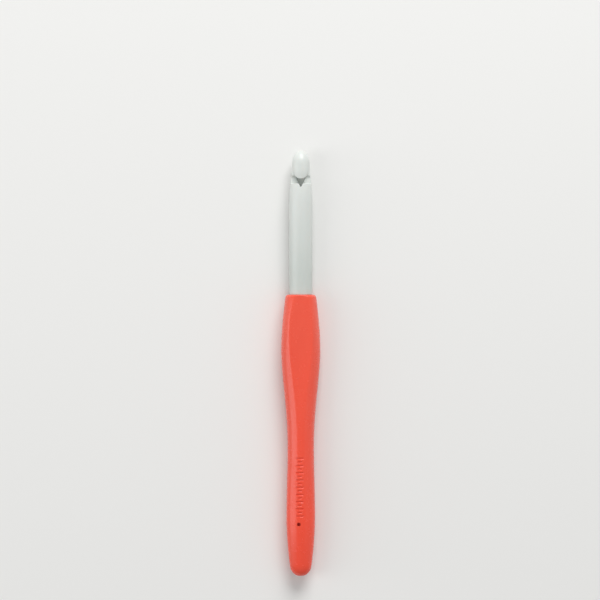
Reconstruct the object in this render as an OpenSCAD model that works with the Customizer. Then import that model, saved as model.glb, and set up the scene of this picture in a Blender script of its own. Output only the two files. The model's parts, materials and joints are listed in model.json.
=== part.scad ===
// Crochet hook: a hook shaft bonded into a hard handle core, with a soft grip moulded over the core.
// The hook lies along X with its tip at +X. Its throat faces +Z, and the grip's flat back rests on Z = 0.
// The shapes are drawn around the shank's axis, and on_rest() lifts them to where they lie.
// Two distances are used along the axis: d runs back from the tip, and s runs back from the grip's mouth.

/* [Hook shaft] */
// Gauge of the hook: diameter of the round shank
gauge_d = 9; // [8.4:0.1:9.1]
// Length of the hook outside the grip, tip to mouth
exposed_l = 56; // [50:1:70]
// Width of the head across its widest place
head_w = 7; // [6.4:0.1:7.6]
// Distance from the tip to the point of the lip
lip_l = 11.3; // [10.6:0.1:11.6]
// Distance from the tip to where the shank has its full gauge
taper_l = 19.5; // [18.5:0.5:24]
// How far the head's crest falls from its highest place to the lip
lip_drop = 0.6; // [0.5:0.1:0.9]
// Slope of the lip's underside from the axis, in degrees
lip_angle = 38; // [34:1:42]
// Radius of the throat's bottom, under the lip
throat_r = 0.9; // [0.8:0.1:1]
// Height of the throat's floor above the shank's axis
throat_z = 0.5; // [0.3:0.1:0.7]
// Distance from the tip to the throat's rear wall
throat_end_l = 13; // [12.6:0.1:13.4]
// Width of the pocket in the throat's floor, below the lip
pocket_w = 3; // [2.6:0.1:3.5]
// Distance from the tip to the pocket's narrow end
pocket_end_l = 14.3; // [13.9:0.1:15]

/* [Tang] */
// Diameter of the tang inside the handle core
tang_d = 6; // [5:0.1:6.2]
// Length of the tang
tang_l = 38; // [30:1:40]
// Depth of the flat that keeps the tang from turning
tang_flat = 0.5; // [0.3:0.1:0.8]
// Gap for the adhesive around the tang
bond_gap = 0.05; // [0.03:0.01:0.1]
// Length of the seat between the shank's shoulder and the tang
seat_l = 3; // [2:0.5:4]

/* [Grip] */
// Length of the grip, mouth to butt
grip_l = 109; // [106:1:112]
// Width at the mouth
mouth_w = 11.8; // [11.6:0.1:12.4]
// Width at the thumb rest
thumb_w = 15.1; // [14:0.1:16]
// Width at the waist
waist_w = 10.2; // [10:0.1:11]
// Width at the heel
heel_w = 11.05; // [10.6:0.05:12]
// Width that the heel tapers to at the butt
butt_w = 7.3; // [7:0.1:8]
// Thickness at the mouth
mouth_t = 12.4; // [12:0.1:12.8]
// Thickness of the thumb rest's crown before its flats are cut
crown_t = 14.6; // [14:0.1:15]
// Thickness at the waist
waist_t = 11.2; // [11:0.1:11.3]
// Thickness at the heel
heel_t = 10; // [9.8:0.1:10.8]
// Thickness that the heel tapers to at the butt
butt_t = 6.4; // [6.2:0.1:7.4]
// Soft material between the shank's surface and the thumb rest's flats
flat_wall = 1.15; // [1.1:0.05:1.3]
// Depth of the shallow dish in the front flat
dish_depth = 0.3; // [0:0.05:0.4]
// Radius of the mouth's outer edge
mouth_edge_r = 1.1; // [0.8:0.1:1.2]
// Length of the rounded end at the butt
butt_r = 4.2; // [3.5:0.1:5]

/* [Grip marks] */
// Distance from the mouth to the first gauge tick
ticks_s = 63.4; // [62:0.2:65]
// Number of long gauge ticks
tick_count = 9; // [3:1:9]
// Distance from one long tick to the next
tick_pitch = 2.8; // [2.4:0.1:2.8]
// Width of a tick along the grip
tick_w = 0.55; // [0.4:0.05:0.8]
// Length of a long tick across the grip
tick_l = 2.8; // [2:0.1:3]
// Depth of the ticks
tick_depth = 0.25; // [0.1:0.05:0.3]
// Diameter of the hole that the core's locating pin leaves in the grip
pin_hole_d = 1.4; // [1:0.1:2]
// Distance from the mouth to the pin hole
pin_hole_s = 88.9; // [88:0.1:91]

/* [Handle core] */
// Diameter of the core's front half
core_d = 8.6; // [8.4:0.1:8.7]
// Diameter of the core inside the waist and the heel
core_waist_d = 7.4; // [7:0.1:7.6]
// Diameter of the core's rear end
core_end_d = 4.6; // [4:0.1:5]
// Thickness of the paddle inside the thumb rest
paddle_t = 5; // [4:0.1:6]
// Soft material over the paddle's edges and the core's rear end
skin = 1.7; // [1.6:0.05:2]

/* [Hidden] */
round_fn = 96;
shaft_colour = [0.84, 0.86, 0.85];
core_colour = [0.70, 0.20, 0.14];
grip_colour = [0.92, 0.36, 0.28];

// The frame: the origin is under the middle of the hook's length
length = exposed_l + grip_l;
tip_x = length / 2;
mouth_x = tip_x - exposed_l;
flat_z = gauge_d / 2 + flat_wall;

// The head is half an ellipse to its widest place, then it grows smoothly to the gauge
head_half = lip_l / 2;
// How far the egg-shaped rear half would run past the lip, which cuts it off blunt
egg_overrun = 0.2;
egg_steps = 12;
nose_steps = 12;
neck_steps = 10;

// The head's crest starts to fall here, from just above the shaft's surface
crest_d = 6.2;
crest_rise = 0.02;
crest_steps = 10;
lip_z = crest_r(lip_l);

// The throat's round bottom touches the sloping underside of the lip
bottom_z = throat_z + throat_r;
lip_under_d = lip_l - (lip_z - bottom_z - throat_r * cos(lip_angle)) / tan(lip_angle);
bottom_d = lip_under_d + throat_r * sin(lip_angle);
bottom_steps = 8;
// The lip's underside and the crest both run on past the lip's point, so that they cut it cleanly
lip_overrun = 0.3;
cut_height = gauge_d;

// The head stands between two ledges, and the pocket's floor lies below the throat's
ledge_z = 1.3;
pocket_z = -0.9;
pocket_end_w = 0.4;
pocket_start_l = bottom_d - throat_r / 2;
pocket_slope = (pocket_w - pocket_end_w) / 2 / (pocket_end_l - lip_l);

// Shaft inside the handle: the shank's shoulder stands on the grip's mouth, and a narrower seat goes in
seat_step = 0.4;
seat_r = gauge_d / 2 - seat_step;
tang_x = mouth_x - seat_l;
tang_end_chamfer = 0.6;
tang_end_r = tang_d / 2 - tang_end_chamfer;
tang_groove_w = 1;
tang_groove_depth = 0.3;
tang_groove_s = [10, 18, 26, 34];
socket_pocket = 1;

// Stations of the grip's outline, from the mouth
crown_s = 12;
thumb_s = 22;
waist_s = 59;
heel_s = 87;
// How much sooner than a plain cosine the widths and the thicknesses fall behind the thumb rest
width_fall = 0.85;
crown_fall = 0.72;
// How late the heel's taper begins, and how square the butt's end is
butt_taper = 1.7;
butt_power = 2.4;
butt_reach = 0.98;
dish_start = 3;
dish_end = 46;

// Rings of the grip's skin: where they stand, and how many points each part of a ring has
ring_step = 2.4;
side_steps = 15;
cap_steps = 5;
cap_angle = 72;

// The ticks and the pin hole lie a little to one side of the grip's middle
marks_y = 0.35;
pin_hole_y = 0.75;
short_tick_l = 1.5;

// Core stations, from the mouth, and what locks the grip to it
core_straight_s = 43;
core_waist_s = 52;
core_rear_s = 92;
core_end_s = 103.5;
lock_groove_s = [56, 63, 70, 77, 84];
lock_groove_w = 1.8;
lock_groove_depth = 0.5;
paddle_start = 9;
paddle_end = 37;
paddle_notch_s = [15, 22, 29];
paddle_notch_r = 0.9;

function smooth(u) = u * u * (3 - 2 * u);
function rise(u, power) = (1 - cos(180 * pow(u, power))) / 2;
function mix(a, b, u) = a + (b - a) * u;

// Radius of the hook shaft at a distance d from the tip
function shaft_r(d) =
    d < head_half ? head_w / 2 * sqrt(1 - pow(1 - d / head_half, 2))
    : d < taper_l ? mix(head_w, gauge_d, smooth((d - head_half) / (taper_l - head_half))) / 2
    : gauge_d / 2;

// Height of the head's crest above the axis at a distance d from the tip, behind crest_d
function crest_fall(d) = (lip_drop + crest_rise) * pow((d - crest_d) / (lip_l - crest_d), 2);
function crest_r(d) = head_w / 2 + crest_rise - crest_fall(d);

// A half size of the grip at s, given the full sizes at the mouth, thumb rest, waist, heel and butt
function half_size(s, mouth, thumb, waist, heel, butt, thumb_at, fall) =
    s < thumb_at ? mix(mouth, thumb, sin(90 * s / thumb_at)) / 2
    : s < waist_s ? mix(thumb, waist, rise((s - thumb_at) / (waist_s - thumb_at), fall)) / 2
    : s < heel_s ? mix(waist, heel, rise((s - waist_s) / (heel_s - waist_s), 1)) / 2
    : mix(heel, butt, pow((s - heel_s) / (grip_l - heel_s), butt_taper)) / 2;

// The mouth's edge is a quarter circle, and the butt is a blunt rounded end
function mouth_inset(s) =
    s < mouth_edge_r ? mouth_edge_r - sqrt(pow(mouth_edge_r, 2) - pow(mouth_edge_r - s, 2)) : 0;
function butt_u(s) = max(0, (s - grip_l + butt_r) / butt_r) * butt_reach;
function butt_factor(s) = pow(1 - pow(butt_u(s), butt_power), 1 / butt_power);

function grip_half_w(s) =
    half_size(s, mouth_w, thumb_w, waist_w, heel_w, butt_w, thumb_s, width_fall) * butt_factor(s)
    - mouth_inset(s);
function grip_half_t(s) =
    half_size(s, mouth_t, crown_t, waist_t, heel_t, butt_t, crown_s, crown_fall) * butt_factor(s)
    - mouth_inset(s);

// Height of the front flat, with its dish: u is 0 on the middle line and 1 on the flat's edge
function dish_u(s) = min(1, max(0, (s - dish_start) / (dish_end - dish_start)));
function dish_along(s) = pow(sin(180 * dish_u(s)), 2);
function front_z(s, u) = flat_z - dish_depth * dish_along(s) * (1 - u * u);

// One ring of the grip's skin: an ellipse whose front is cut off by the flat
function ring_edge(s) = min(cap_angle, asin(min(1, flat_z / grip_half_t(s))));
function ring_side(s) = [
    for (i = [0 : side_steps])
    let (a = mix(-90, ring_edge(s), i / side_steps))
    [grip_half_w(s) * cos(a), grip_half_t(s) * sin(a)]
];
function ring_cap(s) = [
    for (j = [1 : cap_steps])
    let (u = 1 - j / cap_steps, y = grip_half_w(s) * cos(ring_edge(s)) * u)
    [y, min(grip_half_t(s) * sqrt(1 - pow(y / grip_half_w(s), 2)), front_z(s, u))]
];
function ring_right(s) = concat(ring_side(s), ring_cap(s));
function ring(s) =
    let (right = ring_right(s), n = len(right))
    concat(
        [for (p = right) [mouth_x - s, p[0], p[1]]],
        [for (i = [n - 2 : -1 : 1]) [mouth_x - s, -right[i][0], right[i][1]]]
    );

ring_s = concat(
    [for (a = [0 : 18 : 90]) mouth_edge_r * (1 - cos(a))],
    [for (s = [ring_step : ring_step : grip_l - butt_r - 1]) s],
    [for (a = [0 : 10 : 80]) grip_l - butt_r + butt_r * sin(a) / sin(80)]
);
ring_n = 2 * (side_steps + cap_steps);

// Draws its children where they lie at rest, with the grip's flat back on Z = 0
module on_rest() {
    translate([0, 0, flat_z]) children();
}

// Turns an outline of [radius, x] points about the shank's axis
module turned(outline) {
    rotate([0, 90, 0]) rotate_extrude($fn = round_fn) polygon(outline);
}

// A round bar along X from x_low to x_high
module bar(x_low, x_high, r) {
    translate([x_low, 0, 0]) rotate([0, 90, 0]) cylinder(r = r, h = x_high - x_low, $fn = round_fn);
}

// A ring-shaped groove around a bar of radius r, centred at x
module ring_groove(x, r, w, depth) {
    difference() {
        bar(x - w / 2, x + w / 2, r + 1);
        bar(x - w, x + w, r - depth);
    }
}

// The hook's blank: head, neck and shank, before the throat is cut
module shaft_blank() {
    nose = [
        for (i = [0 : nose_steps])
        let (a = 90 * i / nose_steps)
        [head_w / 2 * sin(a), tip_x - head_half * (1 - cos(a))]
    ];
    neck = [
        for (i = [1 : neck_steps - 1])
        let (d = mix(head_half, taper_l, i / neck_steps))
        [shaft_r(d), tip_x - d]
    ];
    shank = [[gauge_d / 2, tip_x - taper_l], [gauge_d / 2, mouth_x]];
    seat = [[seat_r, mouth_x], [seat_r, tang_x], [0, tang_x]];
    turned(concat(nose, neck, shank, seat));
}

// What the throat removes, seen from the side: under the lip, round the bottom, then floor and wall
module throat_cut() {
    front_x = tip_x - lip_l - lip_overrun / tan(lip_angle);
    front_z = lip_z + lip_overrun;
    wall_x = tip_x - throat_end_l;
    bottom = [
        for (i = [0 : bottom_steps])
        let (a = mix(90 + lip_angle, 270, i / bottom_steps))
        [tip_x - bottom_d - throat_r * cos(a), bottom_z + throat_r * sin(a)]
    ];
    rotate([90, 0, 0]) linear_extrude(height = gauge_d + 2, center = true) polygon(concat(
        [[front_x, front_z + cut_height], [front_x, front_z]],
        bottom,
        [[wall_x, throat_z], [wall_x, front_z + cut_height]]
    ));
}

// What the pocket removes: it narrows to its end up the neck, and leaves the lip above it whole
module pocket_cut() {
    start_w = pocket_w / 2 + pocket_slope * (lip_l - pocket_start_l);
    difference() {
        translate([0, 0, pocket_z]) linear_extrude(height = cut_height) polygon([
            [tip_x - pocket_start_l, start_w],
            [tip_x - pocket_start_l, -start_w],
            [tip_x - pocket_end_l, -pocket_end_w / 2],
            [tip_x - pocket_end_l, pocket_end_w / 2]
        ]);
        translate([tip_x - lip_l, -gauge_d / 2, bottom_z]) cube([lip_l, gauge_d, cut_height]);
    }
}

// What narrows the head's rear half to an egg, down to a ledge on each side of the lip
module egg_cut() {
    egg_l = head_half + egg_overrun;
    end_a = asin(head_half / egg_l);
    edge = [
        for (i = [0 : egg_steps])
        let (a = end_a * i / egg_steps)
        [tip_x - head_half - egg_l * sin(a), head_w / 2 * cos(a)]
    ];
    for (side = [0, 1]) {
        mirror([0, side, 0]) translate([0, 0, ledge_z]) linear_extrude(height = cut_height) polygon(concat(
            edge,
            [[tip_x - lip_l, gauge_d], [tip_x - head_half, gauge_d]]
        ));
    }
}

// What lowers the head's crest towards the lip, down to the same ledges
module crest_cut() {
    crest_end = lip_l + 2 * lip_overrun;
    crest = [
        for (i = [0 : crest_steps])
        let (d = mix(crest_d, crest_end, i / crest_steps))
        [crest_r(d), tip_x - d]
    ];
    front = [[0, tip_x], [crest_r(crest_d), tip_x]];
    rear = [[crest_r(crest_end), tip_x - taper_l], [0, tip_x - taper_l]];
    difference() {
        translate([tip_x - crest_end, -gauge_d / 2, ledge_z])
            cube([crest_end - crest_d, gauge_d, cut_height]);
        turned(concat(front, crest, rear));
    }
}

// The tang, or with a gap the socket that takes it
module tang(gap, extra_l) {
    difference() {
        bar(tang_x - tang_l - extra_l, tang_x + 1, tang_d / 2 + gap);
        translate([tang_x - tang_l - extra_l - 1, -tang_d, tang_d / 2 + gap - tang_flat])
            cube([tang_l + extra_l + 3, 2 * tang_d, tang_d]);
    }
}

module hook_shaft() {
    color(shaft_colour) on_rest() {
        difference() {
            shaft_blank();
            throat_cut();
            pocket_cut();
            egg_cut();
            crest_cut();
        }
        difference() {
            tang(0, 0);
            for (s = tang_groove_s) {
                ring_groove(mouth_x - s, tang_d / 2, tang_groove_w, tang_groove_depth);
            }
            translate([tang_x - tang_l, 0, 0]) rotate([0, 90, 0]) difference() {
                cylinder(r = tang_d, h = tang_end_chamfer, $fn = round_fn);
                cylinder(r1 = tang_end_r, r2 = tang_d / 2, h = tang_end_chamfer, $fn = round_fn);
            }
        }
    }
}

// The flat wings that carry the thumb rest, with notches that the soft material fills
module paddle() {
    stations = [for (s = [paddle_start : 2 : paddle_end]) s];
    right = [for (s = stations) [mouth_x - s, grip_half_w(s) - skin]];
    left = [for (i = [len(right) - 1 : -1 : 0]) [right[i][0], -right[i][1]]];
    difference() {
        translate([0, 0, -paddle_t / 2]) linear_extrude(height = paddle_t) polygon(concat(right, left));
        for (s = paddle_notch_s, side = [-1, 1]) {
            translate([mouth_x - s, side * (grip_half_w(s) - skin), -paddle_t])
                cylinder(r = paddle_notch_r, h = 2 * paddle_t, $fn = round_fn);
        }
    }
}

// The outside of the core, which is also the space that the grip leaves for it
module core_body() {
    difference() {
        turned([
            [0, tang_x],
            [core_d / 2, tang_x],
            [core_d / 2, mouth_x - core_straight_s],
            [core_waist_d / 2, mouth_x - core_waist_s],
            [core_waist_d / 2, mouth_x - core_rear_s],
            [core_end_d / 2, mouth_x - core_end_s],
            [0, mouth_x - core_end_s]
        ]);
        for (s = lock_groove_s) {
            ring_groove(mouth_x - s, core_waist_d / 2, lock_groove_w, lock_groove_depth);
        }
    }
    paddle();
}

module handle_core() {
    color(core_colour) on_rest() difference() {
        core_body();
        tang(bond_gap, socket_pocket);
    }
}

// The grip's outer skin, ring by ring from the mouth to the butt
module grip_skin() {
    rings = len(ring_s);
    sides = [
        for (i = [0 : rings - 2], j = [0 : ring_n - 1])
        let (a = i * ring_n + j, b = i * ring_n + (j + 1) % ring_n)
        each [[a, b, a + ring_n], [b, b + ring_n, a + ring_n]]
    ];
    polyhedron(
        points = [for (s = ring_s) each ring(s)],
        faces = concat(
            sides,
            [[for (j = [ring_n - 1 : -1 : 0]) j]],
            [[for (j = [0 : ring_n - 1]) (rings - 1) * ring_n + j]]
        )
    );
}

// A tick across the front: its floor follows the crown of the grip
module tick(s, across) {
    crown_r = pow(grip_half_w(s), 2) / grip_half_t(s);
    difference() {
        translate([mouth_x - s, marks_y, grip_half_t(s)]) cube([tick_w, across, 2], center = true);
        translate([0, 0, grip_half_t(s) - tick_depth - crown_r])
            bar(mouth_x - s - tick_w, mouth_x - s + tick_w, crown_r);
    }
}

module grip() {
    color(grip_colour) on_rest() difference() {
        grip_skin();
        translate([-length, -thumb_w, -2 * crown_t - flat_z]) cube([2 * length, 2 * thumb_w, 2 * crown_t]);
        core_body();
        bar(tang_x - 0.5, mouth_x + 1, seat_r);
        for (i = [0 : tick_count - 1]) {
            tick(ticks_s + i * tick_pitch, tick_l);
        }
        for (i = [0 : tick_count - 2]) {
            tick(ticks_s + (i + 0.5) * tick_pitch, short_tick_l);
        }
        translate([mouth_x - pin_hole_s, pin_hole_y, 0]) cylinder(d = pin_hole_d, h = heel_t, $fn = round_fn);
    }
}

hook_shaft();
handle_core();
grip();
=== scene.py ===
import json
import math

import bmesh
import bpy
import numpy as np
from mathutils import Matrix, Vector


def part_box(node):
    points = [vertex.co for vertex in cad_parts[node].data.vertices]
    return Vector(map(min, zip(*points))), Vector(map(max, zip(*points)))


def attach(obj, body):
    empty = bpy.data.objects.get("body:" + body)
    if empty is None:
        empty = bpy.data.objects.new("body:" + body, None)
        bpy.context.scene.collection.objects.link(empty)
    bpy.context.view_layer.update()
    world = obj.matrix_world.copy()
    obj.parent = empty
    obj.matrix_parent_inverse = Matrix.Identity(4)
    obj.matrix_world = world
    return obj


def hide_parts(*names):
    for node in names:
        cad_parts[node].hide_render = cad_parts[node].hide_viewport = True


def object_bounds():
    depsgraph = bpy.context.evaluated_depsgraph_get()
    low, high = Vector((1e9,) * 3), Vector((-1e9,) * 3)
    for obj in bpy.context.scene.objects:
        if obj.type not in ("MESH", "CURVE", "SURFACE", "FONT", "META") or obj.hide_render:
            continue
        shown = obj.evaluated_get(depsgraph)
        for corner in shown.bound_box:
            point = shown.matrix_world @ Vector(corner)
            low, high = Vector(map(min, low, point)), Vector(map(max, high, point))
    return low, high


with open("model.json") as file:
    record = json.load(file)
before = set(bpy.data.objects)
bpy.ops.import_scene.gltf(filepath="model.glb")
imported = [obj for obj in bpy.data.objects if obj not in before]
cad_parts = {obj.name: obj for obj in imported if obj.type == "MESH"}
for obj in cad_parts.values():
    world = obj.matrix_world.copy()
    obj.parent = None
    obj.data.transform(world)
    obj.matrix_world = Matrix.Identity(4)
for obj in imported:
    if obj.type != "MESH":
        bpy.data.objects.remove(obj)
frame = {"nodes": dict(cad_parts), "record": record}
cad_low, cad_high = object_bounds()

# Shapes are worked out in millimetres around the shank's axis, and written to the meshes in metres.
MM = 0.001

# --------------------------------------------------------------------------------------------------
# Sizes that come from the frame
# --------------------------------------------------------------------------------------------------
shaft_low, shaft_high = (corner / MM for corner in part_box("hook_shaft"))
core_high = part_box("handle_core")[1] / MM
grip_low, grip_high = (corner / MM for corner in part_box("grip"))
shank_mount = next(m for m in frame["record"]["mounts"] if m["name"] == "shank")

TIP_X = shaft_high.x
MOUTH_X = grip_high.x
BUTT_X = grip_low.x
TANG_END_X = shaft_low.x
TANG_X = core_high.x
AXIS_Z = (shaft_low.z + shaft_high.z) / 2
GAUGE_R = shank_mount["dims"]["r_mm"]
TAPER_L = TIP_X - shank_mount["pos_m"][0] / MM - shank_mount["dims"]["length_mm"] / 2
GRIP_L = MOUTH_X - BUTT_X
FLAT_Z = (grip_high.z - grip_low.z) / 2

# --------------------------------------------------------------------------------------------------
# The hook shaft's own sizes, in millimetres from the tip and from the axis
# --------------------------------------------------------------------------------------------------
# Head: an egg whose widest place is halfway to the lip's point, with a crest that falls to the lip
HEAD_R = 3.5
LIP_L = 11.3
HEAD_HALF = LIP_L / 2
EGG_OVERRUN = 0.2
CREST_D = 6.2
LIP_DROP = 0.6
# Ledges beside the head: above them, all that is outside the egg is cut away, and the cut runs on to this
# far behind the middle of the throat's round bottom
LEDGE_Z = 1.3
LIP_REACH = 1.5
# Throat: the lip's sloping underside, a round bottom, a level floor and an upright wall
LIP_ANGLE = math.radians(38)
THROAT_R = 0.9
THROAT_Z = 0.5
WALL_D = 13
# Pocket in the throat's floor
POCKET_Z = -0.9
POCKET_END_D = 14.3
POCKET_HALF_W, POCKET_END_HALF_W = 1.5, 0.2
# Widths over which edges and corners are rounded
EDGE_BLEND = 0.12
POCKET_BLEND = 0.2
EGG_BLEND = 0.5
LEDGE_BLEND = 0.3
# Seat and tang, and the core's socket for the tang
SEAT_R = 4.1
TANG_R = 3.0
TANG_FLAT = 0.5
TANG_CHAMFER = 0.6
TANG_GROOVES = (10, 18, 26, 34)
TANG_GROOVE_W = 1.0
TANG_GROOVE_DEPTH = 0.3
SOCKET_R = 3.05
SOCKET_POCKET = 1.0

# --------------------------------------------------------------------------------------------------
# The grip's own sizes, in millimetres from the mouth and from the axis
# --------------------------------------------------------------------------------------------------
# Where the thickness and the width are greatest at the thumb rest, and where the waist and the heel are
CROWN_S, THUMB_S, WAIST_S, HEEL_S = 12, 22, 59, 87
# Widths and thicknesses at the mouth, the thumb rest, the waist, the heel and the butt
WIDTHS = (11.8, 15.1, 10.2, 11.05, 7.3)
THICKNESSES = (12.4, 14.6, 11.2, 10.0, 6.4)
# Powers that shape the fall from the thumb rest to the waist, for the width and for the thickness
WIDTH_FALL, CROWN_FALL = 0.85, 0.72
# Ends: a blunt rounded butt, and a quarter circle at the mouth
BUTT_TAPER, BUTT_POWER, BUTT_REACH, BUTT_R = 1.7, 2.4, 0.98, 4.2
MOUTH_EDGE_R = 1.1
# Dish in the front flat
DISH_DEPTH, DISH_START, DISH_END = 0.3, 3, 46
CREASE_BLEND = 0.3
# Marks on the front: ticks, a pin hole, the vestige of the mould's gate and a dimple
MARKS_Y = 0.35
TICKS_S, TICK_COUNT, TICK_PITCH = 63.4, 9, 2.8
TICK_W, TICK_L, SHORT_TICK_L, TICK_DEPTH = 0.55, 2.8, 1.5, 0.25
PIN_HOLE_S, PIN_HOLE_Y, PIN_HOLE_R = 88.9, 0.75, 0.7
GATE_S, GATE_Y, GATE_R, GATE_H = 32.4, 1.05, 0.32, 0.14
DIMPLE_S, DIMPLE_R, DIMPLE_DEPTH = 97.1, 0.55, 0.1
# Parting line along both sides, and the lengths over which it rises at the mouth and fades at the butt
PARTING_H, PARTING_R, PARTING_RISE, PARTING_FADE = 0.03, 0.1, 4, 6

# --------------------------------------------------------------------------------------------------
# How finely the shapes are made
# --------------------------------------------------------------------------------------------------
# Parts that grow into each other, and cuts that leave through a face, run on by this much
OVERLAP = 1
# Cuts that only meet other cuts run into them by this much
CUT_OVERLAP = 0.5
# Steps of the grid around the hook shaft, and its margin past the shape
GRID_MARGIN = 0.45
TANG_STEP, SEAT_STEP, SHANK_STEP, HEAD_STEP, ACROSS_STEP = 0.3, 0.1, 1.2, 0.14, 0.16
# The seat's fine stretch of the grid, behind and in front of the mouth
SEAT_STRETCH, SHOULDER_STRETCH = 4, 0.6
# Steps between the grip's rings on plain and marked stretches, and the margins around its marks
MOUTH_STEP, PLAIN_STEP, HEEL_STEP, BUTT_STEP = 0.4, 0.8, 0.3, 0.5
GATE_STEP, TICK_STEP, DIMPLE_STEP = 0.08, 0.085, 0.12
MOUTH_STRETCH, MARK_MARGIN, DIMPLE_MARGIN = 8, 0.6, 0.8
# Rings on the mouth's quarter circle and on the butt's rounding, which ends where it has turned this far
MOUTH_RINGS, BUTT_RINGS, BUTT_TURN = 9, 18, 80
# Edges sharper than this stay crisp
SHARP_ANGLE = math.radians(50)
# Guards against dividing by nothing, and the distance in metres below which points are one
NEAR_ZERO, LEAST_SLOPE, LEAST_SHARE = 1e-6, 0.05, 0.0001
SAME_POINT = 1e-7


def mix(a, b, u):
    return a + (b - a) * u


def smooth(u):
    u = np.clip(u, 0, 1)
    return u * u * (3 - 2 * u)


def rise(u, power=1.0):
    """From 0 to 1 along half a cosine wave."""
    return (1 - np.cos(np.pi * np.clip(u, 0, 1) ** power)) / 2


def blend_max(a, b, k):
    """The larger of two fields, rounded over a width k where they are close, as a fillet does."""
    h = np.maximum(k - np.abs(a - b), 0) / k
    return np.maximum(a, b) + h * h * k / 4


def blend_min(a, b, k):
    return -blend_max(-a, -b, k)


def mesh_piece(name, points_mm, faces):
    """A mesh object from points in millimetres around the shank's axis."""
    points = np.asarray(points_mm, float) + (0, 0, AXIS_Z)
    mesh = bpy.data.meshes.new(name)
    mesh.from_pydata((points * MM).tolist(), [], faces)
    mesh.validate()
    mesh.shade_smooth()
    piece = bpy.data.objects.new(name, mesh)
    bpy.context.scene.collection.objects.link(piece)
    return piece


# --------------------------------------------------------------------------------------------------
# Hook shaft: a distance field of its head, throat, shank and tang, meshed on a grid
# --------------------------------------------------------------------------------------------------
def shaft_r(d):
    """Radius behind the head's widest place, at a distance d from the tip."""
    return mix(HEAD_R, GAUGE_R, smooth((d - HEAD_HALF) / (TAPER_L - HEAD_HALF)))


LIP_Z = HEAD_R - LIP_DROP
BOTTOM_Z = THROAT_R + THROAT_Z
BOTTOM_D = (
    LIP_L
    - (LIP_Z - BOTTOM_Z - THROAT_R * math.cos(LIP_ANGLE)) / math.tan(LIP_ANGLE)
    + THROAT_R * math.sin(LIP_ANGLE)
)


def crest_r(d):
    """Radius of the head's front: it drops behind the widest place, down to the lip."""
    return HEAD_R - LIP_DROP * np.maximum((d - CREST_D) / (LIP_L - CREST_D), 0) ** 2


def ellipsoid(x, y, z, rx, ry, rz):
    """Distance to an ellipsoid, good near its surface."""
    k0 = np.sqrt((x / rx) ** 2 + (y / ry) ** 2 + (z / rz) ** 2)
    k1 = np.sqrt((x / rx**2) ** 2 + (y / ry**2) ** 2 + (z / rz**2) ** 2)
    return k0 * (k0 - 1) / np.maximum(k1, NEAR_ZERO)


def throat_field(d, z):
    """Negative inside the throat, seen from the side: the lip's underside, bottom, floor and wall."""
    off_d, off_z = d - BOTTOM_D, z - BOTTOM_Z
    under_lip = off_z * math.cos(LIP_ANGLE) - off_d * math.sin(LIP_ANGLE)
    along_lip = off_d * math.cos(LIP_ANGLE) + off_z * math.sin(LIP_ANGLE)
    in_corner = (along_lip <= 0) & (off_d <= 0)
    hollow = np.where(in_corner, np.hypot(off_d, off_z), np.maximum(under_lip, -off_z)) - THROAT_R
    return blend_max(hollow, d - WALL_D, EDGE_BLEND)


def pocket_field(d, y, z):
    """Negative inside the pocket under the lip, which narrows to a point up the neck."""
    slope = (POCKET_HALF_W - POCKET_END_HALF_W) / (POCKET_END_D - LIP_L)
    side = (np.abs(y) - POCKET_END_HALF_W - slope * (POCKET_END_D - d)) / math.hypot(1, slope)
    start = np.minimum(LIP_L - d, np.maximum(BOTTOM_D - THROAT_R / 2 - d, z - BOTTOM_Z))
    return np.maximum(np.maximum(side, POCKET_Z - z), np.maximum(start, d - POCKET_END_D))


def shaft_field(x, y, z):
    """Negative inside the hook shaft."""
    d = TIP_X - x
    q = np.hypot(y, z)
    nose = ellipsoid(d - HEAD_HALF, y, z, HEAD_HALF, HEAD_R, HEAD_R)
    body = np.where(d < HEAD_HALF, nose, q - shaft_r(d))
    hollow = blend_min(throat_field(d, z), pocket_field(d, y, z), POCKET_BLEND)
    body = blend_max(body, -hollow, EDGE_BLEND)
    outside_egg = ellipsoid(d - HEAD_HALF, y, 0, HEAD_HALF + EGG_OVERRUN, HEAD_R, 1)
    head = blend_max(outside_egg, q - crest_r(d), EGG_BLEND)
    above_ledge = np.minimum(z - LEDGE_Z, BOTTOM_D + LIP_REACH - d)
    body = blend_max(body, np.minimum(head, above_ledge), LEDGE_BLEND)
    shank = np.maximum(body, MOUTH_X - x)
    seat = np.maximum(q - SEAT_R, np.maximum(TANG_X - x, x - MOUTH_X - OVERLAP))
    tang = np.maximum(q - TANG_R, z - TANG_R + TANG_FLAT)
    for s in TANG_GROOVES:
        groove = np.maximum(np.abs(x - MOUTH_X + s) - TANG_GROOVE_W / 2, TANG_R - TANG_GROOVE_DEPTH - q)
        tang = np.maximum(tang, -groove)
    chamfer = (q - TANG_R + TANG_CHAMFER - (x - TANG_END_X)) / math.sqrt(2)
    tang = np.maximum(np.maximum(tang, chamfer), np.maximum(TANG_END_X - x, x - TANG_X - OVERLAP))
    return np.minimum(np.minimum(shank, seat), tang)


def gradient(field, p, step=0.004):
    """Slope of a field at points, from a small step to each side."""
    parts = []
    for axis in range(3):
        shift = np.zeros(3)
        shift[axis] = step
        parts.append((field(*(p + shift).T) - field(*(p - shift).T)) / (2 * step))
    return np.stack(parts, -1)


def neighbours(axis):
    """Slices that pair each point of a grid with the next one along an axis."""
    first, second = [slice(None)] * 3, [slice(None)] * 3
    first[axis], second[axis] = slice(0, -1), slice(1, None)
    return tuple(first), tuple(second)


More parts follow.
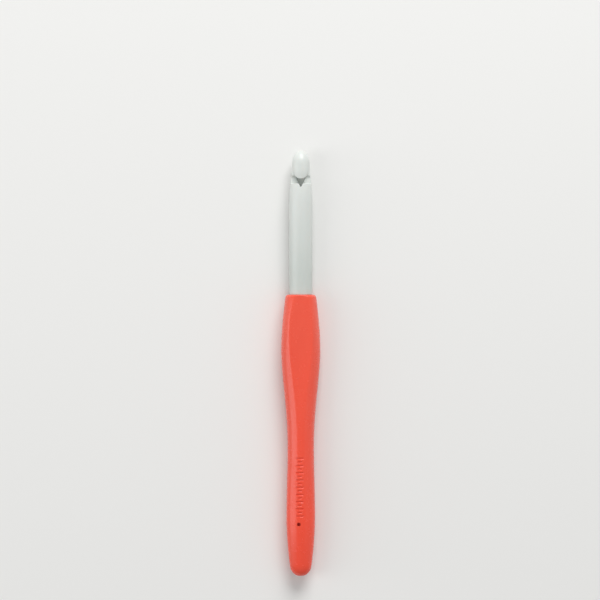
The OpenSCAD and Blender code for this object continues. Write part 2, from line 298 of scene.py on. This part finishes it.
def net_points(grid, value):
    """One point in each cell that the surface crosses, and each cell's place among the points."""
    inside = value < 0
    shape = np.array(inside.shape) - 1
    total = np.zeros((*shape, 3))
    count = np.zeros(shape)
    for axis in range(3):
        first, second = neighbours(axis)
        crossed = inside[first] != inside[second]
        share = value[first] / np.where(crossed, value[first] - value[second], 1)
        point = grid[first] + (grid[second] - grid[first]) * share[..., None]
        others = [a for a in range(3) if a != axis]
        for i in (0, 1):
            for j in (0, 1):
                part = [slice(None)] * 3
                part[others[0]] = slice(i, i + shape[others[0]])
                part[others[1]] = slice(j, j + shape[others[1]])
                part = tuple(part)
                total += np.where(crossed[part][..., None], point[part], 0)
                count += crossed[part]
    used = count > 0
    index = np.full(shape, -1)
    index[used] = np.arange(used.sum())
    return total[used] / count[used][:, None], index


def net_quads(value, index):
    """A quad around each line of the grid that the surface crosses, facing out."""
    inside = value < 0
    shape = index.shape
    quads = []
    for axis in range(3):
        others = [(axis + 1) % 3, (axis + 2) % 3]
        first, second = neighbours(axis)
        cell = np.argwhere(inside[first] != inside[second])
        ok = (cell[:, others[0]] > 0) & (cell[:, others[1]] > 0)
        ok &= (cell[:, others[0]] < shape[others[0]]) & (cell[:, others[1]] < shape[others[1]])
        cell = cell[ok]
        leaves = inside[first][tuple(cell.T)]
        ring = []
        for i, j in ((0, 0), (1, 0), (1, 1), (0, 1)):
            corner = cell.copy()
            corner[:, others[0]] -= 1 - i
            corner[:, others[1]] -= 1 - j
            ring.append(index[tuple(corner.T)])
        ring = np.stack(ring, -1)
        ring[~leaves] = ring[~leaves][:, ::-1]
        quads.append(ring)
    return np.concatenate(quads)


def surface_net(field, xs, ys, zs, pulls=4):
    """Points and quads of a field's zero surface, with the points pulled onto it."""
    grid = np.stack(np.meshgrid(xs, ys, zs, indexing="ij"), -1)
    value = field(grid[..., 0], grid[..., 1], grid[..., 2])
    points, index = net_points(grid, value)
    for _ in range(pulls):
        slope = gradient(field, points)
        size = np.maximum((slope * slope).sum(-1), LEAST_SLOPE)
        points = points - slope * (field(*points.T) / size)[:, None]
    return points, net_quads(value, index)


def spread(*stops):
    """Grid lines through (place, step) stops: each stretch is divided evenly, near its own step."""
    lines = [stops[0][0]]
    for (low, step), (high, _) in zip(stops, stops[1:]):
        lines.extend(np.linspace(low, high, max(2, round(abs(high - low) / step) + 1))[1:])
    return np.array(lines)


def make_hook_shaft():
    """The whole light-grey moulding, with the tang inside the handle."""
    xs = spread(
        (TANG_END_X - GRID_MARGIN, TANG_STEP),
        (MOUTH_X - SEAT_STRETCH, SEAT_STEP),
        (MOUTH_X + SHOULDER_STRETCH, SHANK_STEP),
        (TIP_X - TAPER_L - OVERLAP, HEAD_STEP),
        (TIP_X + GRID_MARGIN, HEAD_STEP),
    )
    side = GAUGE_R + GRID_MARGIN
    across = spread((-side, ACROSS_STEP), (side, ACROSS_STEP))
    points, quads = surface_net(shaft_field, xs, across, across)
    return mesh_piece("shaft_moulding", points, quads.tolist())


# --------------------------------------------------------------------------------------------------
# Grip: rings from the mouth to the butt, with the marks pressed in, hollowed out around the core
# --------------------------------------------------------------------------------------------------
def half_size(s, sizes, thumb_s, fall):
    """Half the grip's width or thickness at a distance s from the mouth, from its five sizes."""
    mouth, thumb, waist, heel, butt = sizes
    size = np.where(
        s < thumb_s,
        mix(mouth, thumb, np.sin(np.pi / 2 * np.minimum(s / thumb_s, 1))),
        mix(thumb, waist, rise((s - thumb_s) / (WAIST_S - thumb_s), fall)),
    )
    size = np.where(s < WAIST_S, size, mix(waist, heel, rise((s - WAIST_S) / (HEEL_S - WAIST_S))))
    taper = np.clip((s - HEEL_S) / (GRIP_L - HEEL_S), 0, 1) ** BUTT_TAPER
    return np.where(s < HEEL_S, size, mix(heel, butt, taper)) / 2


def end_factor(s):
    """1 along the grip, and down to nearly 0 over the rounding of the butt."""
    u = np.clip((s - GRIP_L + BUTT_R) / BUTT_R, 0, 1) * BUTT_REACH
    return (1 - u**BUTT_POWER) ** (1 / BUTT_POWER)


def mouth_inset(s):
    """How far the rounded edge of the mouth draws the surface in."""
    return MOUTH_EDGE_R - np.sqrt(MOUTH_EDGE_R**2 - np.maximum(MOUTH_EDGE_R - s, 0) ** 2)


def grip_half_w(s):
    return half_size(s, WIDTHS, THUMB_S, WIDTH_FALL) * end_factor(s) - mouth_inset(s)


def grip_half_t(s):
    return half_size(s, THICKNESSES, CROWN_S, CROWN_FALL) * end_factor(s) - mouth_inset(s)


def bump(distance, radius):
    """1 at the middle and 0 past the radius, with a smooth side."""
    return 1 - smooth(distance / radius)


def bar_mask(s, y, centre_s, length, edge=0.12):
    """1 inside a tick's outline and 0 outside, with a narrow slope between."""
    along = np.abs(s - centre_s) - TICK_W / 2
    across = np.abs(y - MARKS_Y) - length / 2
    return 1 - smooth((np.maximum(along, across) + edge / 2) / edge)


def marks_depth(s, y):
    """How far the front is pressed in, or stands out, at a place on it."""
    depth = np.zeros(np.broadcast(s, y).shape)
    for i in range(2 * TICK_COUNT - 1):
        length = SHORT_TICK_L if i % 2 else TICK_L
        depth += TICK_DEPTH * bar_mask(s, y, TICKS_S + i * TICK_PITCH / 2, length)
    depth += DIMPLE_DEPTH * bump(np.hypot(s - DIMPLE_S, y - MARKS_Y), DIMPLE_R)
    depth -= GATE_H * bump(np.hypot(s - GATE_S, y - GATE_Y), GATE_R)
    return depth


def ring_angles():
    """Angles around a ring, from +Y by way of the front: closest at the marks and the parting lines."""
    # Each stop is an angle and the step that follows it, in degrees
    quarter = spread((0, 0.9), (6, 2.4), (40, 1.6), (66, 1.05), (90, 1.05))
    front = np.concatenate([quarter, 180 - quarter[-2::-1]])
    back = spread((180, 0.9), (186, 2.4), (354, 0.9), (360, 0.9))[1:-1]
    return np.radians(np.concatenate([front, back]))


def ring_stations():
    """Places of the grip's rings, from the mouth to the butt."""
    mouth_turn = np.radians(np.linspace(0, 90, MOUTH_RINGS))
    butt_turn = np.radians(np.linspace(0, BUTT_TURN, BUTT_RINGS))
    middle = spread(
        (MOUTH_EDGE_R, MOUTH_STEP),
        (MOUTH_STRETCH, PLAIN_STEP),
        (GATE_S - MARK_MARGIN, GATE_STEP),
        (GATE_S + MARK_MARGIN, PLAIN_STEP),
        (TICKS_S - MARK_MARGIN, TICK_STEP),
        (TICKS_S + (TICK_COUNT - 1) * TICK_PITCH + MARK_MARGIN, HEEL_STEP),
        (DIMPLE_S - DIMPLE_MARGIN, DIMPLE_STEP),
        (DIMPLE_S + DIMPLE_MARGIN, BUTT_STEP),
        (GRIP_L - BUTT_R, BUTT_STEP),
    )
    mouth = MOUTH_EDGE_R * (1 - np.cos(mouth_turn))
    butt = GRIP_L - BUTT_R + BUTT_R * np.sin(butt_turn) / math.sin(math.radians(BUTT_TURN))
    return np.concatenate([mouth[:-1], middle[:-1], butt])


def grip_rings():
    """Points of the grip's outside: a row for each ring."""
    s = ring_stations()[:, None]
    angle = ring_angles()[None, :]
    w, t = grip_half_w(s), grip_half_t(s)
    y = w * np.cos(angle)
    z = t * np.sin(angle)
    flat_half = w * np.sqrt(np.clip(1 - (FLAT_Z / t) ** 2, LEAST_SHARE, 1))
    along = np.clip((s - DISH_START) / (DISH_END - DISH_START), 0, 1)
    dish = DISH_DEPTH * np.sin(np.pi * along) ** 2 * np.clip(1 - (y / flat_half) ** 2, 0, 1)
    z = np.where(z > 0, blend_min(z, FLAT_Z - dish, CREASE_BLEND), np.maximum(z, -FLAT_Z))
    z = z - np.where(z > 0, marks_depth(s, y), 0)
    parting = PARTING_H * np.exp(-((t * np.sin(angle) / PARTING_R) ** 2))
    parting = parting * smooth(s / PARTING_RISE) * smooth((GRIP_L - s) / PARTING_FADE)
    y = y + np.sign(y) * parting
    x = np.broadcast_to(MOUTH_X - s, y.shape)
    return np.stack([x, y, z], -1)


def closed_rings(name, rings):
    """A closed mesh through rings of points, with a fan at each end."""
    rows, n = rings.shape[:2]
    a = (np.arange(rows - 1)[:, None] * n + np.arange(n)[None, :]).ravel()
    b = (np.arange(rows - 1)[:, None] * n + (np.arange(n)[None, :] + 1) % n).ravel()
    quads = np.stack([a, b, b + n, a + n], -1).tolist()
    points = np.concatenate([rings.reshape(-1, 3), [rings[0].mean(0), rings[-1].mean(0)]])
    first, last = rows * n, rows * n + 1
    fans = [[first, (j + 1) % n, j] for j in range(n)]
    fans += [[last, last - 1 - n + j, last - 1 - n + (j + 1) % n] for j in range(n)]
    return mesh_piece(name, points, quads + fans)


def bar_piece(name, x_low, x_high, r, sides=96):
    """A round bar along X, around the shank's axis."""
    angle = np.linspace(0, 2 * np.pi, sides, endpoint=False)
    ring = np.stack([np.zeros(sides), r * np.cos(angle), r * np.sin(angle)], -1)
    return closed_rings(name, np.stack([ring + (x_high, 0, 0), ring + (x_low, 0, 0)]))


def pin_piece(name, sides=64):
    """The pin that leaves the hole near the butt, standing on the core."""
    turn = np.linspace(0, 2 * np.pi, sides, endpoint=False)
    ring = np.stack([PIN_HOLE_R * np.sin(turn), PIN_HOLE_R * np.cos(turn), np.zeros(sides)], -1)
    base = np.array([MOUTH_X - PIN_HOLE_S, PIN_HOLE_Y, 0])
    return closed_rings(name, np.stack([ring + base + (0, 0, FLAT_Z + OVERLAP), ring + base]))


def core_blank():
    """The core's outside alone, as the space to leave for it: a copy with its socket closed."""
    socket_wall_gap = 0.05
    built = bmesh.new()
    built.from_mesh(frame["nodes"]["handle_core"].data)
    bmesh.ops.remove_doubles(built, verts=built.verts, dist=SAME_POINT)
    end = (TANG_END_X - SOCKET_POCKET - CUT_OVERLAP) * MM
    wall = (SOCKET_R + socket_wall_gap) * MM
    inner = {v for v in built.verts if math.hypot(v.co.y, v.co.z - AXIS_Z * MM) < wall and v.co.x > end}
    socket = [f for f in built.faces if all(v in inner for v in f.verts)]
    bmesh.ops.delete(built, geom=socket, context="FACES")
    bmesh.ops.holes_fill(built, edges=[e for e in built.edges if e.is_boundary])
    bmesh.ops.recalc_face_normals(built, faces=built.faces)
    mesh = bpy.data.meshes.new("core_blank")
    built.to_mesh(mesh)
    built.free()
    blank = bpy.data.objects.new("core_blank", mesh)
    bpy.context.scene.collection.objects.link(blank)
    return blank


def cut_away(piece, tools):
    """Takes the tools' shapes out of the piece, and removes the tools."""
    for tool in tools:
        cut = piece.modifiers.new(tool.name, "BOOLEAN")
        cut.operation = "DIFFERENCE"
        cut.solver = "EXACT"
        cut.object = tool
    depsgraph = bpy.context.evaluated_depsgraph_get()
    mesh = bpy.data.meshes.new_from_object(piece.evaluated_get(depsgraph))
    piece.modifiers.clear()
    piece.data = mesh
    for tool in tools:
        bpy.data.objects.remove(tool)


def drop_doubled_faces(mesh):
    """Splits a mesh into triangles and takes out pairs that lie on each other, which a cut can leave."""
    bm = bmesh.new()
    bm.from_mesh(mesh)
    bmesh.ops.remove_doubles(bm, verts=bm.verts[:], dist=SAME_POINT)
    bmesh.ops.triangulate(bm, faces=bm.faces[:])
    same = {}
    for face in bm.faces:
        corners = frozenset(tuple(round(c / SAME_POINT) for c in corner.co) for corner in face.verts)
        same.setdefault(corners, []).append(face)
    doubled = [face for faces in same.values() if len(faces) > 1 for face in faces]
    bmesh.ops.delete(bm, geom=doubled, context="FACES")
    bm.to_mesh(mesh)
    bm.free()


def make_grip():
    """The grip's outside, with the space for the core, the seat and the pin hole cut out of it."""
    grip = closed_rings("soft_grip", grip_rings())
    seat = bar_piece("seat", TANG_X - CUT_OVERLAP, MOUTH_X + OVERLAP, SEAT_R)
    cut_away(grip, [core_blank(), seat, pin_piece("pin")])
    drop_doubled_faces(grip.data)
    grip.data.set_sharp_from_angle(angle=SHARP_ANGLE)
    return grip


# --------------------------------------------------------------------------------------------------
# Materials
# --------------------------------------------------------------------------------------------------
# Noise scales of the plastics' clouds, gloss and waves, and how deep the bumps go, in metres
CLOUD_STRETCH = (0.25, 1, 1)
CLOUD_SCALE, GLOSS_SCALE, WAVE_SCALE = 160, 420, 330
WAVE_DEPTH, GRAIN_DEPTH = 0.0004, 0.0001
PLASTIC_IOR = 1.5
SCATTER_RADIUS, SCATTER_SCALE = (1.0, 0.8, 0.7), 0.002


def srgb(r, g, b):
    """A colour given as 0 to 255 in sRGB, as linear values."""
    def linear(c):
        c = c / 255
        return c / 12.92 if c <= 0.04045 else ((c + 0.055) / 1.055) ** 2.4
    return (linear(r), linear(g), linear(b), 1)


def node(tree, kind, **settings):
    made = tree.nodes.new(kind)
    for key, value in settings.items():
        setattr(made, key, value)
    return made


def noise(tree, place, scale, detail=3.0, rough=0.5):
    made = node(tree, "ShaderNodeTexNoise")
    made.inputs["Scale"].default_value = scale
    made.inputs["Detail"].default_value = detail
    made.inputs["Roughness"].default_value = rough
    tree.links.new(place, made.inputs["Vector"])
    return made.outputs["Fac"]


def ranged(tree, value, low, high, from_low=0.3, from_high=0.7):
    made = node(tree, "ShaderNodeMapRange")
    made.inputs["From Min"].default_value = from_low
    made.inputs["From Max"].default_value = from_high
    made.inputs["To Min"].default_value = low
    made.inputs["To Max"].default_value = high
    tree.links.new(value, made.inputs["Value"])
    return made.outputs["Result"]


def two_tone(tree, value, first, second):
    made = node(tree, "ShaderNodeMix", data_type="RGBA")
    for tone, socket in ((first, made.inputs["A"]), (second, made.inputs["B"])):
        if isinstance(tone, bpy.types.NodeSocket):
            tree.links.new(tone, socket)
        else:
            socket.default_value = tone
    tree.links.new(value, made.inputs["Factor"])
    return made.outputs["Result"]


def bumped(tree, height, strength, distance, under=None):
    made = node(tree, "ShaderNodeBump")
    made.inputs["Strength"].default_value = strength
    made.inputs["Distance"].default_value = distance
    tree.links.new(height, made.inputs["Height"])
    if under is not None:
        tree.links.new(under, made.inputs["Normal"])
    return made.outputs["Normal"]


def stretched(tree, scale):
    """Object coordinates, stretched along the hook."""
    place = node(tree, "ShaderNodeTexCoord").outputs["Object"]
    mapping = node(tree, "ShaderNodeMapping")
    mapping.inputs["Scale"].default_value = scale
    tree.links.new(place, mapping.inputs["Vector"])
    return mapping.outputs["Vector"]


def along(tree, front, rear):
    """0 at the front place and 1 at the rear one, both in millimetres along the hook."""
    place = node(tree, "ShaderNodeTexCoord").outputs["Object"]
    parts = node(tree, "ShaderNodeSeparateXYZ")
    tree.links.new(place, parts.inputs["Vector"])
    return ranged(tree, parts.outputs["X"], 0, 1, front * MM, rear * MM)


def plastic(
    name, front_tones, rear_tones, reach, roughness, grain, grain_strength, wave_strength, subsurface,
):
    """Moulded plastic: cloudy colour that changes along the hook, uneven gloss, fine grain, slow waves. On
    the shaft and the grip the change along the hook is painted shade.
    """
    material = bpy.data.materials.new(name)
    material.use_nodes = True
    tree = material.node_tree
    shader = tree.nodes["Principled BSDF"]
    place = node(tree, "ShaderNodeTexCoord").outputs["Object"]
    cloud = ranged(tree, noise(tree, stretched(tree, CLOUD_STRETCH), CLOUD_SCALE, 4), 0, 1)
    front = two_tone(tree, cloud, *front_tones)
    rear = two_tone(tree, cloud, *rear_tones)
    # On the shaft and the grip the rear tones are painted shade: the hook darker towards the butt, where
    # less light falls
    colour = two_tone(tree, along(tree, *reach), front, rear)
    gloss = ranged(tree, noise(tree, place, GLOSS_SCALE, 5, 0.6), *roughness)
    waves = bumped(tree, noise(tree, place, WAVE_SCALE, 1), wave_strength, WAVE_DEPTH)
    fine = bumped(tree, noise(tree, place, grain, 4, 0.65), grain_strength, GRAIN_DEPTH, waves)
    tree.links.new(colour, shader.inputs["Base Color"])
    tree.links.new(gloss, shader.inputs["Roughness"])
    tree.links.new(fine, shader.inputs["Normal"])
    shader.inputs["IOR"].default_value = PLASTIC_IOR
    shader.inputs["Subsurface Weight"].default_value = subsurface
    shader.inputs["Subsurface Radius"].default_value = SCATTER_RADIUS
    shader.inputs["Subsurface Scale"].default_value = SCATTER_SCALE
    return material


shaft_plastic = plastic(
    "shaft_plastic",
    (srgb(212, 216, 212), srgb(217, 221, 217)),
    # Rear tones: painted shade, the shank darker towards the grip as the light falls off away from the tip
    (srgb(196, 202, 197), srgb(202, 207, 202)),
    (TIP_X - TAPER_L, MOUTH_X + 8),
    roughness=(0.3, 0.4), grain=9000, grain_strength=0.05, wave_strength=0.03, subsurface=0.15,
)
core_plastic = plastic(
    "core_plastic",
    (srgb(196, 58, 38), srgb(206, 63, 42)),
    (srgb(188, 54, 34), srgb(198, 60, 38)),
    (MOUTH_X, BUTT_X),
    roughness=(0.4, 0.5), grain=7000, grain_strength=0.1, wave_strength=0.03, subsurface=0.0,
)
grip_elastomer = plastic(
    "grip_elastomer",
    (srgb(236, 85, 63), srgb(240, 90, 67)),
    # Rear tones with less green and blue: painted shade, the grip darker towards the butt as the light
    # falls off away from the tip
    (srgb(240, 76, 51), srgb(244, 80, 55)),
    (MOUTH_X - 10, BUTT_X + 20),
    roughness=(0.2, 0.3), grain=6500, grain_strength=0.08, wave_strength=0.05, subsurface=0.08,
)

# --------------------------------------------------------------------------------------------------
# Camera: straight above the hook with the tip at the top, and a long lens
# --------------------------------------------------------------------------------------------------
# Shares of the view's side that the hook and the space above its tip take up
HOOK_SHARE = 0.709
HEAD_ROOM = 0.2505
# How far the camera stands to the side of the hook's axis and above it, in metres
SIDE_SHIFT = 0.3 * MM
CAMERA_HEIGHT = 1.6
# Width of the sensor, in the camera's own millimetres
SENSOR = 36

hook_l = cad_high.x - cad_low.x
view_side = hook_l / HOOK_SHARE
camera_data = bpy.data.cameras.new("camera")
camera_data.sensor_width = SENSOR
camera_data.lens = SENSOR * CAMERA_HEIGHT / view_side
camera_data.clip_end = 20
camera = bpy.data.objects.new("camera", camera_data)
camera.location = (
    cad_high.x + HEAD_ROOM * view_side - view_side / 2,
    SIDE_SHIFT,
    AXIS_Z * MM + CAMERA_HEIGHT,
)
camera.rotation_euler = (0, 0, -math.pi / 2)
bpy.context.scene.collection.objects.link(camera)
bpy.context.scene.camera = camera

# --------------------------------------------------------------------------------------------------
# The pieces
# --------------------------------------------------------------------------------------------------
shaft = make_hook_shaft()
shaft.data.set_sharp_from_angle(angle=SHARP_ANGLE)
shaft.data.materials.append(shaft_plastic)
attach(shaft, "root")
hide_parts("hook_shaft")

grip = make_grip()
grip.data.materials.clear()
grip.data.materials.append(grip_elastomer)
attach(grip, "root")
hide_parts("grip")

core = frame["nodes"]["handle_core"]
core.data.materials.clear()
core.data.materials.append(core_plastic)

# --------------------------------------------------------------------------------------------------
# Floor and light
# --------------------------------------------------------------------------------------------------
FLOOR_SIDE = 8
# Gap under the hook that keeps the two surfaces from showing through each other
FLOOR_GAP = 0.00002
FLOOR_COLOUR = srgb(232, 232, 230)
FLOOR_ROUGHNESS = 0.8
LONG_BOX = (0.52, 1.35)
SQUARE_BOX = (0.8, 0.8)
STUDIO_STRENGTH = 0.44

floor_mesh = bpy.data.meshes.new("floor")
half = FLOOR_SIDE / 2
floor_z_low = cad_low.z - FLOOR_GAP
corners = [(-half, -half), (half, -half), (half, half), (-half, half)]
floor_mesh.from_pydata([(x, y, floor_z_low) for x, y in corners], [], [(0, 1, 2, 3)])
floor_material = bpy.data.materials.new("floor_paper")
floor_material.use_nodes = True
floor_shader = floor_material.node_tree.nodes["Principled BSDF"]
floor_shader.inputs["Base Color"].default_value = FLOOR_COLOUR
floor_shader.inputs["Roughness"].default_value = FLOOR_ROUGHNESS
floor_mesh.materials.append(floor_material)
floor = bpy.data.objects.new("floor", floor_mesh)
bpy.context.scene.collection.objects.link(floor)


def softbox(name, direction, distance, size, power):
    """A square or oblong area light that looks at the hook's middle from a direction."""
    light = bpy.data.lights.new(name, "AREA")
    light.shape = "RECTANGLE"
    light.size, light.size_y = size
    light.energy = power
    made = bpy.data.objects.new(name, light)
    made.location = Vector(direction).normalized() * distance
    made.rotation_euler = (-Vector(direction)).to_track_quat("-Z", "Y").to_euler()
    bpy.context.scene.collection.objects.link(made)


def from_above(tilt, towards):
    """A direction tilted from straight up, towards +Y for 90 degrees and towards +X for 0."""
    tilt, towards = math.radians(tilt), math.radians(towards)
    return (math.sin(tilt) * math.cos(towards), math.sin(tilt) * math.sin(towards), math.cos(tilt))


softbox("side_softbox", from_above(64, 92), 1.2, LONG_BOX, 4.4)
softbox("tip_light", from_above(53, -12), 1.4, SQUARE_BOX, 15.5)
softbox("right_fill", from_above(62, -95), 1.2, LONG_BOX, 0.5)

world = bpy.data.worlds.new("studio")
world.use_nodes = True
background = world.node_tree.nodes["Background"]
background.inputs["Color"].default_value = (1, 1, 1, 1)
background.inputs["Strength"].default_value = STUDIO_STRENGTH
bpy.context.scene.world = world
bpy.context.scene.view_settings.view_transform = "Standard"
